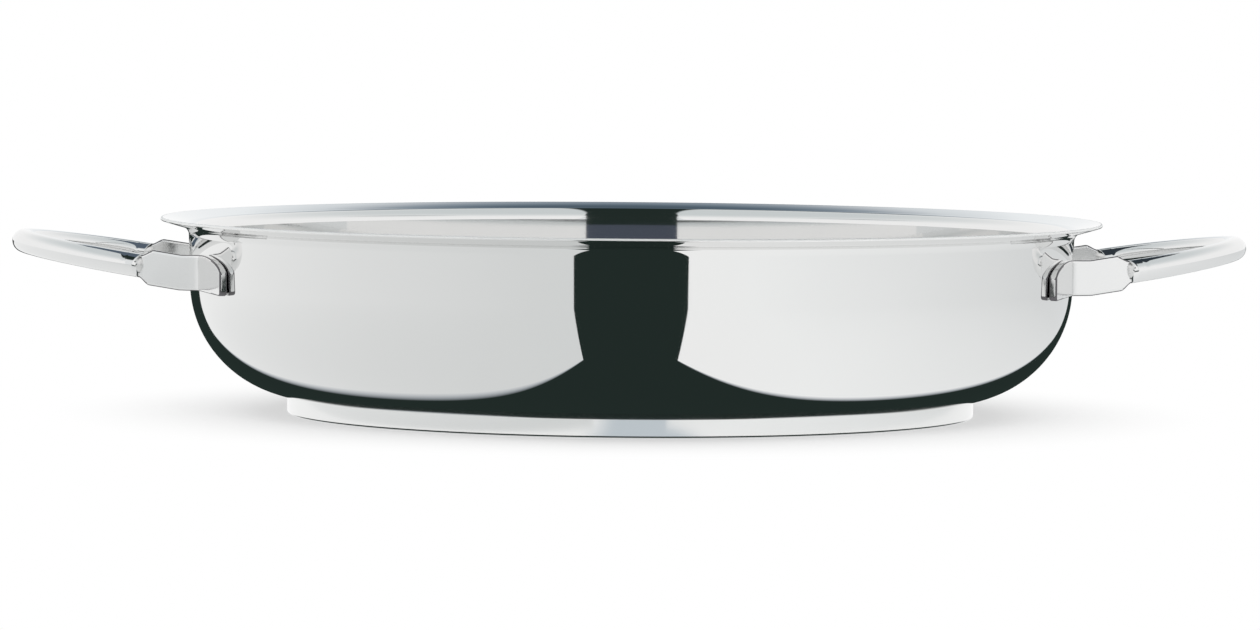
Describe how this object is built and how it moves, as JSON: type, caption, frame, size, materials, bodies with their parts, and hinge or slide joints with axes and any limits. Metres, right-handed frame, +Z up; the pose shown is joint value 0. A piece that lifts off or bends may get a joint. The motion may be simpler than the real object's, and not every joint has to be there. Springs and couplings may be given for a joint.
{
  "type": "serving pan",
  "caption": "Shallow round polished steel pan with a flared pouring lip, thick heat-spreading base and looped side handles, for cooking and serving at the table.",
  "frame": {"origin": "middle of the underside, on the surface that the pan stands on", "axes": "+Z up along the pan's axis, X through both handles, Y across them"},
  "size_m": [0.394, 0.3, 0.062],
  "materials": {
    "polished_steel": "mirror-polished stainless sheet outside and on the lip, fine satin inside",
    "core_aluminium": "mill finish, sealed inside the base",
    "satin_steel": "satin side, turned underside",
    "handle_steel": "polished stainless bar"
  },
  "bodies": {
    "root": {"pan_body": "polished_steel", "base_core": "core_aluminium", "base_cup": "satin_steel", "left_handle": "handle_steel", "right_handle": "handle_steel"}
  },
  "joints": []
}
